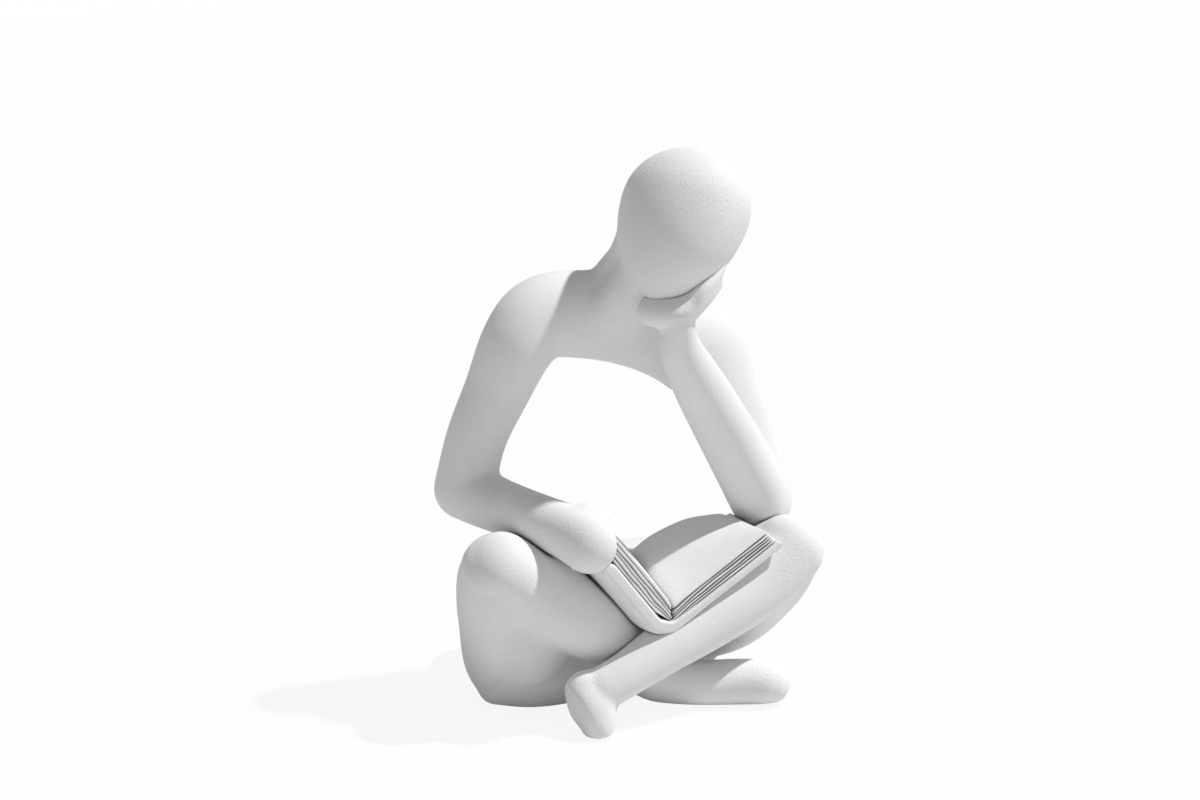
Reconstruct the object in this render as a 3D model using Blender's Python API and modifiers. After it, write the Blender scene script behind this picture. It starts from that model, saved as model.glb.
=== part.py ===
"""Abstract figure seated cross-legged over an open book.

Sections cast in stone-filled resin are set on steel dowels, the book lies on the crossed shins, and felt
pads stand the figure on a table. Metres, +Z up. The figure faces -Y, and its left side is +X.
"""
import math

import bmesh
import bpy
from mathutils import Matrix, Vector

# Clearances
GLUE_GAP = 0.0003
PIN_PLAY = 0.0003

# Main sizes: height of the right shoulder, and how far the right knee lies before the hips
SHOULDER_HEIGHT = 0.108
KNEE_BEFORE_HIPS = 0.0395

# Felt pads and dowels
PAD_THICKNESS = 0.0007
HIP_PAD_RADIUS = 0.006
FOOT_PAD_RADIUS = 0.0022
PIN_RADIUS = 0.0015
PIN_LENGTH = 0.014
ELBOW_PIN_LENGTH = 0.009

# Seat, and the lap that fills the room between the thighs
SEAT_SPAN = 0.0435
SEAT_HALF_DEPTH = 0.0265
SEAT_HALF_HEIGHT = 0.0205
SEAT_HEIGHT = 0.0165
SEAT_SETBACK = 0.0265
HIP_RADIUS = 0.019
LAP_FROM_RIGHT_HIP = Vector((-0.0152, -0.0215, 0.0035))
LAP_FROM_LEFT_HIP = Vector((-0.0154, -0.0142, -0.0045))
LAP_SAG = 0.0023
LAP_BOW = 0.002
LAP_HALF_WIDTH = 0.0145
LAP_HALF_HEIGHT = 0.0185

# Legs
KNEE_RADIUS = 0.0104
RIGHT_KNEE = Vector((-0.049, SEAT_SETBACK - KNEE_BEFORE_HIPS, 0.0495))
LEFT_KNEE = RIGHT_KNEE + Vector((0.0908, -0.0059, -0.0049))
RIGHT_ANKLE = RIGHT_KNEE + Vector((0.05, 0.001, -0.0403))
LEFT_ANKLE = LEFT_KNEE + Vector((-0.0632, -0.0061, -0.0318))
RIGHT_THIGH_HALF_WIDTH = 0.0122
RIGHT_THIGH_HALF_HEIGHT = 0.0183
RIGHT_THIGH_SAG = 0.0064
RIGHT_THIGH_BOW = 0.005
SWELL_FROM_KNEE = Vector((0.0035, 0.0055, -0.0035))
SWELL_FROM_HIP = Vector((-0.0118, -0.0255, 0.0025))
SWELL_HALF_WIDTH = 0.0145
SWELL_HALF_DEPTH = 0.014
LEFT_THIGH_HALF_WIDTH = 0.0145
LEFT_THIGH_HALF_HEIGHT = 0.0178
LEFT_THIGH_SAG = 0.0032
ELBOW_REST_SHARE = 0.62
ELBOW_REST_HALF_WIDTH = 0.0138
ELBOW_REST_HALF_HEIGHT = 0.0164
CALF_RADIUS = 0.0113
LEFT_CALF_RADIUS = 0.0094
ANKLE_RADIUS = 0.007
RIGHT_SHIN_LIFT = 0.002
LEFT_SHIN_SAG = 0.0031
LEFT_SHIN_BOW = 0.0012
SPINE_REST_SHARE = 0.685
SPINE_REST_SAG = 0.0008
SPINE_REST_HALF_WIDTH = 0.0074
SPINE_REST_HALF_HEIGHT = 0.0078
RIGHT_TOES = Vector((0.92, -0.4, 0)).normalized()
FOOT_LENGTH = 0.034
FOOT_HALF_WIDTH = 0.0075
FOOT_HALF_HEIGHT = 0.0065
FOOT_PAD_SETBACK = 0.001
SOLE_CUT = 0.0012
LEFT_HEEL_FROM_ANKLE = Vector((-0.0044, 0.0024, -0.0005))
LEFT_TOES_FROM_ANKLE = Vector((-0.0038, -0.0038, 0))
LEFT_HEEL_RADIUS = 0.0068
LEFT_TOE_RADIUS = 0.0057
LEFT_TOE_CUT = 0.0034
LEFT_SOLE_FROM_ANKLE = Vector((-0.0085, -0.006, -0.0044))
LEFT_SOLE_OUTWARD = Vector((-0.96, -0.27, -0.09)).normalized()

# Shoulders and arms
RIGHT_SHOULDER = Vector((-0.0324, 0.009, SHOULDER_HEIGHT))
RIGHT_COLLAR = RIGHT_SHOULDER + Vector((0.0076, 0, 0.0066))
LEFT_COLLAR = RIGHT_COLLAR + Vector((0.0391, -0.0011, -0.0094))
LEFT_SHOULDER = LEFT_COLLAR + Vector((0.0108, -0.0012, -0.0064))
COLLAR_HALF_HEIGHT = 0.0122
CHEST_RISE = 0.0027
CHEST_HALF_HEIGHT = 0.0129
CHEST_HALF_DEPTH = 0.011
RIGHT_SHOULDER_RADIUS = 0.0109
LEFT_SHOULDER_HALF_HEIGHT = 0.0142
LEFT_ARM_SEAM_SHARE = 0.3
LEFT_ARM_SEAM_RADIUS = 0.01
UPPER_ARM_RADIUS = 0.0088
RIGHT_ARM_BOW = 0.0018
LEFT_ARM_BOW = 0.0021
ELBOW_RADIUS = 0.009
RIGHT_ELBOW = Vector((-0.0474, 0.015, 0.0645))
ELBOW_OUTSET = 0.0065
ELBOW_NEST = 0.0004
FOREARM_RADIUS = 0.0078
LEFT_FOREARM_BOW = 0.0022
WRIST_RADIUS = 0.005

# Hands, each placed from what it touches
HAND_RADIUS = 0.0078
HAND_FROM_CORNER = Vector((-0.0063, 0.0031, -0.0031))
RIGHT_THUMB_PATH = (Vector((-0.002, 0.0056, 0.0038)),
                    Vector((0.0016, 0.004, 0.0048)),
                    Vector((0.0047, 0.003, 0.004)))
WRIST_FROM_JAW = Vector((0.0023, -0.0034, -0.007))
HEEL_FROM_WRIST = Vector((-0.003, 0, 0.0026))
FINGERTIPS_FROM_WRIST = Vector((0.015, 0.001, 0.0145))
PALM_CUP = 0.0015
PALM_HALF_THICKNESS = 0.0035
PALM_HALF_WIDTH = 0.0065
THUMB_RADIUS = 0.0034
LEFT_THUMB_HALF_WIDTH = 0.0056
LEFT_THUMB_PATH = (Vector((0.0015, -0.001, 0.0005)),
                   Vector((-0.002, 0.001, 0.002)),
                   Vector((-0.004, 0.005, 0.003)))

# Head and neck
HEAD_CENTRE = RIGHT_COLLAR + Vector((0.0325, -0.0197, 0.0268))
HEAD_AXIS = Vector((0.47, 0.42, 0.777)).normalized()
HEAD_LENGTH = 0.0474
HEAD_HALF_WIDTH = 0.0177
HEAD_HALF_DEPTH = 0.0205
JAW_FROM_CENTRE = Vector((-0.0082, -0.0101, -0.0168))
NECK_RADIUS = 0.009
NECK_FLARE = 0.0138
NECK_FLARE_DEPTH = 0.0095
NECK_ARCH = 0.0025
NECK_TOP = Vector((-0.0051, 0.0029, 0.0017))

# Profiles between a limb's ends: share of the way, share of the bend, shares of half width and half depth
LAP_PROFILE = ((0.0, 0.0, 0.97, 1.08), (0.23, 1.0, 1.0, 1.0),
               (0.58, 0.9, 0.93, 0.92), (1.0, 0.0, 0.83, 0.865))
SWELL_PROFILE = ((0.0, 0.0, 0.72, 0.82), (0.5, 0.0, 0.97, 1.0), (1.0, 0.0, 1.03, 1.0))
RIGHT_THIGH_PROFILE = ((0.345, 1.0, 1.0, 0.98), (0.66, 0.65, 0.97, 1.02), (0.90, 0.25, 0.85, 0.72))
LEFT_THIGH_PROFILE = ((0.46, 1.0, 1.0, 1.0),)
LEFT_KNEE_PROFILE = ((0.80, 0.9, 0.83, 0.75),)
RIGHT_SHIN_PROFILE = ((0.29, 0.35, 1.03, 1.01), (0.58, 1.0, 0.955, 0.955), (0.77, 0.85, 0.725, 0.76))
RIGHT_FOOT_PROFILE = ((0.36, 0.0, 0.9, 1.08), (0.67, 0.0, 0.95, 1.06), (0.96, 0.08, 1.0, 0.93))
LEFT_SHIN_PROFILE = ((0.20, 1.0, 1.0, 1.02), (0.44, 0.8, 0.92, 0.96))
LEFT_ANKLE_PROFILE = ((0.875, 0.1, 0.94, 0.94), (1.0, 0.0, 0.94, 0.92))
HEAD_PROFILE = ((-0.54, 0.0, 0.7, 0.71), (-0.24, 0.0, 0.89, 0.89),
                (0.08, 0.0, 0.98, 0.98), (0.30, 0.0, 1.0, 1.0))
NECK_PROFILE = ((0.25, 1.0, 1.25, 1.05), (0.5, 0.8, 1.0, 1.0), (0.8, 0.5, 1.0, 1.0), (1.0, 0.0, 1.08, 1.1))
RIGHT_ARM_PROFILE = ((0.35, 1.0, 1.0, 1.0), (0.67, 0.5, 1.09, 1.07))
CHEST_PROFILE = ((0.33, 1.0, 1.0, 1.0), (0.67, 1.0, 1.0, 1.0), (1.0, 0.0, 1.0, 1.0))
LEFT_ARM_PROFILE = ((0.62, 1.0, 1.03, 1.03),)
RIGHT_FOREARM_PROFILE = ((0.17, 0.0, 1.05, 1.06), (0.385, 0.0, 1.0, 1.0), (0.636, 0.0, 0.94, 0.97))
RIGHT_HAND_PROFILE = ((0.85, 0.0, 0.92, 0.99), (1.0, 0.0, 0.94, 1.0))
LEFT_FOREARM_PROFILE = ((0.2, 0.2, 1.14, 1.14), (0.45, 0.65, 1.09, 1.09), (0.68, 1.0, 0.97, 0.97))
LEFT_WRIST_PROFILE = ((0.88, 1.0, 1.02, 1.14), (1.0, 0.0, 0.9, 1.0))
PALM_PROFILE = ((0.0, 0.0, 1.0, 0.92), (0.3, 1.0, 1.0, 1.0), (0.68, 0.5, 0.97, 1.0), (1.0, 0.0, 0.7, 0.7))
RIGHT_THUMB_TAPER = (1.0, 1.0, 0.85)
LEFT_THUMB_TAPER = (1.0, 0.95, 0.72)
NECK_SEAM_SHARE = 0.7
NECK_SEAT_SHARE = 0.55

# How far a limb's rounded ends reach, as shares of its radius there
SEAT_ENDS = (0.8, 0.8)
LAP_ENDS = (0.5, 0.8)
SWELL_ENDS = (0.7, 0.7)
LEG_ENDS = (0.85, 0.75)
NECK_ENDS = (0.5, 0.6)
HEAD_ENDS = (0.83, 0.9)
ARM_ENDS = (1.0, 0.8)

# Book: slopes of its halves from level, page and cover thickness square to the page
RIGHT_PAGE_WIDTH = 0.0356
LEFT_PAGE_WIDTH = 0.0305
PAGE_DEPTH = 0.030
RIGHT_SLOPE = math.radians(31)
LEFT_SLOPE = math.radians(52)
GUTTER_THICKNESS = 0.005
RIGHT_BLOCK_THICKNESS = 0.0047
LEFT_BLOCK_THICKNESS = 0.0052
GUTTER_LIFT = 0.0086
PAGE_SWELL = 0.0032
RIGHT_PAGE_FALL = 0.0030
LEFT_PAGE_FALL = 0.0035
RIGHT_LEAF_FAN = 0.0036
LEFT_LEAF_FAN = 0.0008
RIGHT_COVER_THICKNESS = 0.0022
LEFT_COVER_THICKNESS = 0.0056
SPINE_THICKNESS = 0.0032
COVER_PAST_LEAVES = 0.0012
COVER_PAST_HEAD = 0.001
SPINE_SHARE = 0.3
BOOK_NEST = 0.0025
BOOK_FORWARD = 0.0045

# Seams: share of the thigh before its seam, and reach of the boxes that part the castings
HIP_SEAM_SHARE = 0.38
HIP_CUT_SIZE = (2 * SHOULDER_HEIGHT, 1.5 * SHOULDER_HEIGHT, 0.75 * SHOULDER_HEIGHT)
ARM_CUT_SIZE = (0.65 * SHOULDER_HEIGHT, 0.65 * SHOULDER_HEIGHT, 0.65 * SHOULDER_HEIGHT)
NECK_CUT_SIZE = (SHOULDER_HEIGHT, SHOULDER_HEIGHT, SHOULDER_HEIGHT)
FLOOR_CUT_SIZE = (4 * SHOULDER_HEIGHT, 4 * SHOULDER_HEIGHT, SHOULDER_HEIGHT)
SOLE_CUT_SIZE = (6 * LEFT_HEEL_RADIUS, 6 * LEFT_HEEL_RADIUS, 3 * LEFT_HEEL_RADIUS)

# Facets
CAGE_SIDES = 8
PIN_SIDES = 16
BOOK_STEPS = 6
SHARP_ANGLE = math.radians(38)

RESIN = ("White stone-textured resin", (0.83, 0.83, 0.82, 1), 0.9, 0.0)
STEEL = ("Steel dowel", (0.55, 0.56, 0.57, 1), 0.35, 1.0)
FELT = ("White felt", (0.78, 0.77, 0.74, 1), 1.0, 0.0)

FRONT = Vector((0, -1, 0))
SIDEWAYS = Vector((0, 1, 0))
UP = Vector((0, 0, 1))


def clear_scene():
    for thing in list(bpy.data.objects):
        bpy.data.objects.remove(thing)


def new_collection(name):
    collection = bpy.data.collections.new(name)
    bpy.context.scene.collection.children.link(collection)
    return collection


def finish(settings):
    name, colour, roughness, metallic = settings
    material = bpy.data.materials.new(name)
    material.use_nodes = True
    shader = material.node_tree.nodes["Principled BSDF"]
    shader.inputs["Base Color"].default_value = colour
    shader.inputs["Roughness"].default_value = roughness
    shader.inputs["Metallic"].default_value = metallic
    return material


def between(start, end, share):
    return start.lerp(end, share)


def add_object(name, mesh, collection):
    thing = bpy.data.objects.new(name, mesh)
    collection.objects.link(thing)
    return thing


def mesh_from_rings(name, rings, twisted=False):
    """Join rings of equal count with quads and close both ends.

    The quads of a twisted form are halved alike, so that forms that lie over each other keep their gap.
    """
    mesh = bpy.data.meshes.new(name)
    shape = bmesh.new()
    loops = [[shape.verts.new(point) for point in ring] for ring in rings]
    count = len(rings[0])
    for lower, upper in zip(loops, loops[1:]):
        for i in range(count):
            j = (i + 1) % count
            shape.faces.new((lower[i], lower[j], upper[j], upper[i]))
    if twisted:
        bmesh.ops.triangulate(shape, faces=shape.faces, quad_method="FIXED")
    shape.faces.new(list(reversed(loops[0])))
    shape.faces.new(loops[-1])
    bmesh.ops.recalc_face_normals(shape, faces=shape.faces)
    shape.to_mesh(mesh)
    shape.free()
    mesh.shade_smooth()
    return mesh


class Limb:
    """A rounded form through stations of (place, half width, half depth).

    The half depth lies towards the reference direction, and the half width lies square to it.
    """

    # A ring of eight draws in by this much when it is subdivided once
    SWELL = 8 / (6 + 2 * math.cos(2 * math.pi / CAGE_SIDES))
    # Share of the end's reach, and share of its section, of the rings that round an end
    END_RINGS = ((0.62, 0.86), (1.06, 0.46))

    def __init__(self, name, stations, reference, ends=(1.0, 1.0)):
        self.name = name
        self.stations = stations
        self.reference = reference
        self.ends = ends

    def tangents(self):
        places = [place for place, _, _ in self.stations]
        last = len(places) - 1
        return [(places[min(i + 1, last)] - places[max(i - 1, 0)]).normalized() for i in range(last + 1)]

    def ring(self, place, along, half_width, half_depth):
        side = along.cross(self.reference).normalized()
        depth = side.cross(along)
        points = []
        for i in range(CAGE_SIDES):
            angle = 2 * math.pi * i / CAGE_SIDES
            across = side * half_width * math.cos(angle)
            inward = depth * half_depth * math.sin(angle)
            points.append(place + (across + inward) * self.SWELL)
        return points

    def rings(self, grow):
        tangents = self.tangents()
        sized = [(place, width + grow, depth + grow) for place, width, depth in self.stations]
        rings = [self.ring(place, along, width, depth)
                 for (place, width, depth), along in zip(sized, tangents)]
        for end, outward, roundness in ((0, -1, self.ends[0]), (-1, 1, self.ends[1])):
            place, width, depth = sized[end]
            reach = roundness * (width + depth) / 2
            caps = [self.ring(place + tangents[end] * outward * reach * far, tangents[end],
                              width * share, depth * share) for far, share in self.END_RINGS]
            rings = list(reversed(caps)) + rings if end == 0 else rings + caps
        return rings

    def make(self, name, collection, grow=0.0):
        thing = add_object(name, mesh_from_rings(name, self.rings(grow)), collection)
        smoothing = thing.modifiers.new("Round", "SUBSURF")
        smoothing.levels = 1
        smoothing.render_levels = 1
        return thing


class Workshop:
    """Makes pieces and the cutters that fit them to each other."""

    def __init__(self):
        self.parts = new_collection("Reading figurine")
        self.cutters = new_collection("Cutters")
        self.materials = {settings[0]: finish(settings) for settings in (RESIN, STEEL, FELT)}
        self.made_cutters = {}

    def cutter(self, thing):
        thing.hide_render = True
        thing.display_type = "WIRE"
        return thing

    def limb_cutter(self, limb, grow):
        key = (limb.name, grow)
        if key not in self.made_cutters:
            label = f"{limb.name} space" if grow else f"{limb.name} form"
            self.made_cutters[key] = self.cutter(limb.make(label, self.cutters, grow))
        return self.made_cutters[key]

    def give(self, thing, settings):
        thing.data.materials.append(self.materials[settings[0]])
        return thing

    def combine(self, thing, other, operation):
        change = thing.modifiers.new(other.name, "BOOLEAN")
        change.operation = operation
        change.solver = "EXACT"
        change.object = other

    def casting(self, name, limbs):
        thing = self.give(limbs[0].make(name, self.parts), RESIN)
        self.join(thing, limbs[1:])
        return thing

    def join(self, thing, limbs):
        for limb in limbs:
            self.combine(thing, self.limb_cutter(limb, 0.0), "UNION")

    def clear(self, thing, limbs):
        """Cut a casting back from its neighbours by the glue gap."""
        for limb in limbs:
            self.combine(thing, self.limb_cutter(limb, GLUE_GAP), "DIFFERENCE")

    def half_space(self, name, point, outward, size, gap):
        """A box of a width, height and reach whose face lies past the plane through a point by the gap."""
        mesh = bpy.data.meshes.new(name)
        shape = bmesh.new()
        bmesh.ops.create_cube(shape, size=1)
        bmesh.ops.scale(shape, verts=shape.verts, vec=size)
        bmesh.ops.translate(shape, verts=shape.verts, vec=(0, 0, size[2] / 2 + gap))
        shape.to_mesh(mesh)
        shape.free()
        thing = self.cutter(add_object(name, mesh, self.cutters))
        thing.matrix_world = Matrix.Translation(point) @ outward.to_track_quat("Z", "Y").to_matrix().to_4x4()
        return thing

    def round_bar(self, name, middle, along, radius, length, collection):
        mesh = bpy.data.meshes.new(name)
        shape = bmesh.new()
        bmesh.ops.create_cone(shape, cap_ends=True, segments=PIN_SIDES, radius1=radius, radius2=radius,
                              depth=length)
        shape.to_mesh(mesh)
        shape.free()
        mesh.shade_smooth()
        mesh.set_sharp_from_angle(angle=SHARP_ANGLE)
        thing = add_object(name, mesh, collection)
        thing.matrix_world = Matrix.Translation(middle) @ along.to_track_quat("Z", "Y").to_matrix().to_4x4()
        return thing

    def pin(self, name, middle, along, length, castings):
        """A dowel across a glue line, in a hole with play in both castings."""
        self.give(self.round_bar(name, middle, along, PIN_RADIUS, length, self.parts), STEEL)
        hole = self.cutter(self.round_bar(f"{name} hole", middle, along, PIN_RADIUS + PIN_PLAY,
                                          length + 2 * PIN_PLAY, self.cutters))
        for casting in castings:
            self.combine(casting, hole, "DIFFERENCE")


class Skeleton:
    """Places of the joints and the limbs through them, worked out from the sizes above."""

    def __init__(self):
        self.floor = PAD_THICKNESS + GLUE_GAP
        self.legs()
        self.book_place()
        self.head()
        self.arms()

    def along(self, start, end, profile, half_width, half_depth, bend=Vector()):
        """Stations on the line between two places, moved off it by shares of a bend."""
        return [(between(start, end, share) + bend * curve, half_width * width, half_depth * depth)
                for share, curve, width, depth in profile]

    def legs(self):
        self.right_hip = Vector((-SEAT_SPAN / 2, SEAT_SETBACK, SEAT_HEIGHT))
        self.left_hip = Vector((SEAT_SPAN / 2, SEAT_SETBACK, SEAT_HEIGHT))
        self.seat = Limb("seat", [(place, SEAT_HALF_DEPTH, SEAT_HALF_HEIGHT)
                                  for place in (self.right_hip, self.left_hip)], UP, SEAT_ENDS)
        self.lap = Limb("lap", self.along(
            self.right_hip + LAP_FROM_RIGHT_HIP, self.left_hip + LAP_FROM_LEFT_HIP, LAP_PROFILE,
            LAP_HALF_WIDTH, LAP_HALF_HEIGHT, FRONT * LAP_BOW - UP * LAP_SAG), UP, LAP_ENDS)

        bend = Vector((-RIGHT_THIGH_BOW, 0, -RIGHT_THIGH_SAG))
        stations = [(self.right_hip, HIP_RADIUS, HIP_RADIUS)]
        stations += self.along(self.right_hip, RIGHT_KNEE, RIGHT_THIGH_PROFILE,
                               RIGHT_THIGH_HALF_WIDTH, RIGHT_THIGH_HALF_HEIGHT, bend)
        stations.append((RIGHT_KNEE, KNEE_RADIUS, KNEE_RADIUS))
        self.right_thigh = Limb("right thigh", stations, UP, LEG_ENDS)
        self.swell = Limb("right thigh swell", self.along(
            RIGHT_KNEE + SWELL_FROM_KNEE, self.right_hip + SWELL_FROM_HIP, SWELL_PROFILE,
            SWELL_HALF_WIDTH, SWELL_HALF_DEPTH), FRONT, SWELL_ENDS)

        sag = UP * -LEFT_THIGH_SAG
        self.elbow_rest = between(self.left_hip, LEFT_KNEE, ELBOW_REST_SHARE) + sag
        stations = [(self.left_hip, HIP_RADIUS, HIP_RADIUS)]
        stations += self.along(self.left_hip, LEFT_KNEE, LEFT_THIGH_PROFILE,
                               LEFT_THIGH_HALF_WIDTH, LEFT_THIGH_HALF_HEIGHT, sag)
        stations.append((self.elbow_rest, ELBOW_REST_HALF_WIDTH, ELBOW_REST_HALF_HEIGHT))
        stations += self.along(self.left_hip, LEFT_KNEE, LEFT_KNEE_PROFILE,
                               LEFT_THIGH_HALF_WIDTH, LEFT_THIGH_HALF_HEIGHT, sag)
        stations.append((LEFT_KNEE, KNEE_RADIUS, KNEE_RADIUS))
        self.left_thigh = Limb("left thigh", stations, UP, LEG_ENDS)

        heel = Vector((RIGHT_ANKLE.x, RIGHT_ANKLE.y, self.floor + FOOT_HALF_HEIGHT - SOLE_CUT))
        foot = self.along(heel, heel + RIGHT_TOES * FOOT_LENGTH, RIGHT_FOOT_PROFILE,
                          FOOT_HALF_WIDTH, FOOT_HALF_HEIGHT, UP * FOOT_HALF_HEIGHT)
        self.right_sole = foot[1][0] - FRONT * FOOT_PAD_SETBACK
        stations = [(RIGHT_KNEE, KNEE_RADIUS, KNEE_RADIUS)]
        stations += self.along(RIGHT_KNEE, RIGHT_ANKLE, RIGHT_SHIN_PROFILE,
                               CALF_RADIUS, CALF_RADIUS, UP * RIGHT_SHIN_LIFT)
        stations.append((RIGHT_ANKLE, ANKLE_RADIUS, ANKLE_RADIUS))
        self.right_shin = Limb("right shin", stations + foot, UP, LEG_ENDS)

        bend = FRONT * LEFT_SHIN_BOW - UP * LEFT_SHIN_SAG
        self.spine_rest = (between(LEFT_KNEE, LEFT_ANKLE, SPINE_REST_SHARE)
                           + FRONT * LEFT_SHIN_BOW - UP * SPINE_REST_SAG)
        stations = [(LEFT_KNEE, KNEE_RADIUS, KNEE_RADIUS)]
        stations += self.along(LEFT_KNEE, LEFT_ANKLE, LEFT_SHIN_PROFILE,
                               LEFT_CALF_RADIUS, LEFT_CALF_RADIUS, bend)
        stations.append((self.spine_rest, SPINE_REST_HALF_WIDTH, SPINE_REST_HALF_HEIGHT))
        stations += self.along(LEFT_KNEE, LEFT_ANKLE, LEFT_ANKLE_PROFILE, ANKLE_RADIUS, ANKLE_RADIUS, bend)
        self.left_shin = Limb("left shin", stations, UP, LEG_ENDS)

        heel = LEFT_ANKLE + LEFT_HEEL_FROM_ANKLE
        toes = LEFT_ANKLE + LEFT_TOES_FROM_ANKLE
        toes.z = self.floor + LEFT_TOE_RADIUS - LEFT_TOE_CUT
        self.left_sole = toes
        self.left_foot = Limb("left foot", [
            (heel, LEFT_HEEL_RADIUS, LEFT_HEEL_RADIUS),
            (between(heel, toes, 0.5), LEFT_HEEL_RADIUS, LEFT_HEEL_RADIUS),
            (toes, LEFT_TOE_RADIUS, LEFT_TOE_RADIUS)], UP, LEG_ENDS)

    def book_place(self):
        """The spine lies across the left shin, and the right hand holds the left front corner."""
        lift = SPINE_REST_HALF_HEIGHT - BOOK_NEST + SPINE_THICKNESS + GLUE_GAP + GUTTER_THICKNESS
        self.gutter = self.spine_rest + FRONT * BOOK_FORWARD + UP * lift
        corner = Vector((-math.cos(LEFT_SLOPE), 0, math.sin(LEFT_SLOPE))) * LEFT_PAGE_WIDTH
        self.right_hand = self.gutter + corner + HAND_FROM_CORNER

    def head(self):
        crown = HEAD_CENTRE + HEAD_AXIS * HEAD_LENGTH / 2
        self.head_form = Limb("head", self.along(HEAD_CENTRE, crown, HEAD_PROFILE, HEAD_HALF_WIDTH,
                                                 HEAD_HALF_DEPTH), SIDEWAYS, HEAD_ENDS)
        self.wrist = HEAD_CENTRE + JAW_FROM_CENTRE + WRIST_FROM_JAW

        chest = between(RIGHT_COLLAR, LEFT_COLLAR, NECK_SEAT_SHARE) + UP * CHEST_RISE
        rise = self.along(chest, HEAD_CENTRE + NECK_TOP, NECK_PROFILE, NECK_RADIUS, NECK_RADIUS,
                          SIDEWAYS * NECK_ARCH)
        self.neck = Limb("neck", [(chest, NECK_FLARE, NECK_FLARE_DEPTH)] + rise, SIDEWAYS, NECK_ENDS)
        self.neck_seam = between(rise[0][0], rise[1][0], NECK_SEAM_SHARE)
        self.neck_axis = (rise[1][0] - rise[0][0]).normalized()

    def arms(self):
        off_top = math.sqrt(1 - (ELBOW_OUTSET / ELBOW_REST_HALF_WIDTH) ** 2)
        self.elbow_seat = self.elbow_rest + Vector((ELBOW_OUTSET, 0, ELBOW_REST_HALF_HEIGHT * off_top))
        self.left_elbow = self.elbow_seat + UP * (ELBOW_RADIUS - ELBOW_NEST)
        bow = Vector((LEFT_ARM_BOW, 0, 0))
        self.left_seam = between(LEFT_SHOULDER, self.left_elbow, LEFT_ARM_SEAM_SHARE) + bow
        stations = [(RIGHT_ELBOW, ELBOW_RADIUS, ELBOW_RADIUS)]
        stations += self.along(RIGHT_ELBOW, RIGHT_SHOULDER, RIGHT_ARM_PROFILE,
                               UPPER_ARM_RADIUS, UPPER_ARM_RADIUS, Vector((-RIGHT_ARM_BOW, 0, 0)))
        right_seam = len(stations)
        stations.append((RIGHT_SHOULDER, RIGHT_SHOULDER_RADIUS, RIGHT_SHOULDER_RADIUS))
        stations.append((RIGHT_COLLAR, COLLAR_HALF_HEIGHT, CHEST_HALF_DEPTH))
        stations += self.along(RIGHT_COLLAR, LEFT_COLLAR, CHEST_PROFILE, CHEST_HALF_HEIGHT, CHEST_HALF_DEPTH,
                               UP * CHEST_RISE)
        stations.append((LEFT_SHOULDER, LEFT_SHOULDER_HALF_HEIGHT, CHEST_HALF_DEPTH))
        left_seam = len(stations)
        stations.append((self.left_seam, LEFT_ARM_SEAM_RADIUS, LEFT_ARM_SEAM_RADIUS))
        stations += self.along(LEFT_SHOULDER, self.left_elbow, LEFT_ARM_PROFILE,
                               UPPER_ARM_RADIUS, UPPER_ARM_RADIUS, bow)
        stations.append((self.left_elbow, ELBOW_RADIUS, ELBOW_RADIUS))
        self.arch = Limb("shoulder arch", stations, SIDEWAYS)
        tangents = self.arch.tangents()
        self.right_seam_axis = tangents[right_seam]
        self.left_seam_axis = -tangents[left_seam]

        stations = [(RIGHT_ELBOW, ELBOW_RADIUS, ELBOW_RADIUS)]
        stations += self.along(RIGHT_ELBOW, self.right_hand, RIGHT_FOREARM_PROFILE,
                               FOREARM_RADIUS, FOREARM_RADIUS)
        self.over_thigh = stations[2][0]
        stations += self.along(RIGHT_ELBOW, self.right_hand, RIGHT_HAND_PROFILE, HAND_RADIUS, HAND_RADIUS)
        self.right_forearm = Limb("right forearm", stations, UP)
        self.right_thumb = Limb("right thumb", [
            (self.right_hand + step, THUMB_RADIUS * taper, THUMB_RADIUS * taper)
            for step, taper in zip(RIGHT_THUMB_PATH, RIGHT_THUMB_TAPER)], SIDEWAYS)

        bow = Vector((-LEFT_FOREARM_BOW, 0, 0))
        stations = [(self.left_elbow, ELBOW_RADIUS, ELBOW_RADIUS)]
        stations += self.along(self.left_elbow, self.wrist, LEFT_FOREARM_PROFILE,
                               FOREARM_RADIUS, FOREARM_RADIUS, bow)
        stations += self.along(self.left_elbow, self.wrist, LEFT_WRIST_PROFILE,
                               WRIST_RADIUS, WRIST_RADIUS, bow)
        self.left_forearm = Limb("left forearm", stations, SIDEWAYS, ARM_ENDS)
        heel = self.wrist + HEEL_FROM_WRIST
        self.left_palm = Limb("left palm", self.along(
            heel, self.wrist + FINGERTIPS_FROM_WRIST, PALM_PROFILE, PALM_HALF_THICKNESS, PALM_HALF_WIDTH,
            FRONT * PALM_CUP), SIDEWAYS, SEAT_ENDS)
        self.left_thumb = Limb("left thumb", [
            (heel + step, THUMB_RADIUS * taper, LEFT_THUMB_HALF_WIDTH * taper)
            for step, taper in zip(LEFT_THUMB_PATH, LEFT_THUMB_TAPER)], SIDEWAYS)

    def mitre(self, elbow, shoulder_side, hand_side):
        """Direction across the plane that halves an elbow, from the upper arm to the forearm."""
        return ((hand_side - elbow).normalized() - (shoulder_side - elbow).normalized()).normalized()


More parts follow.
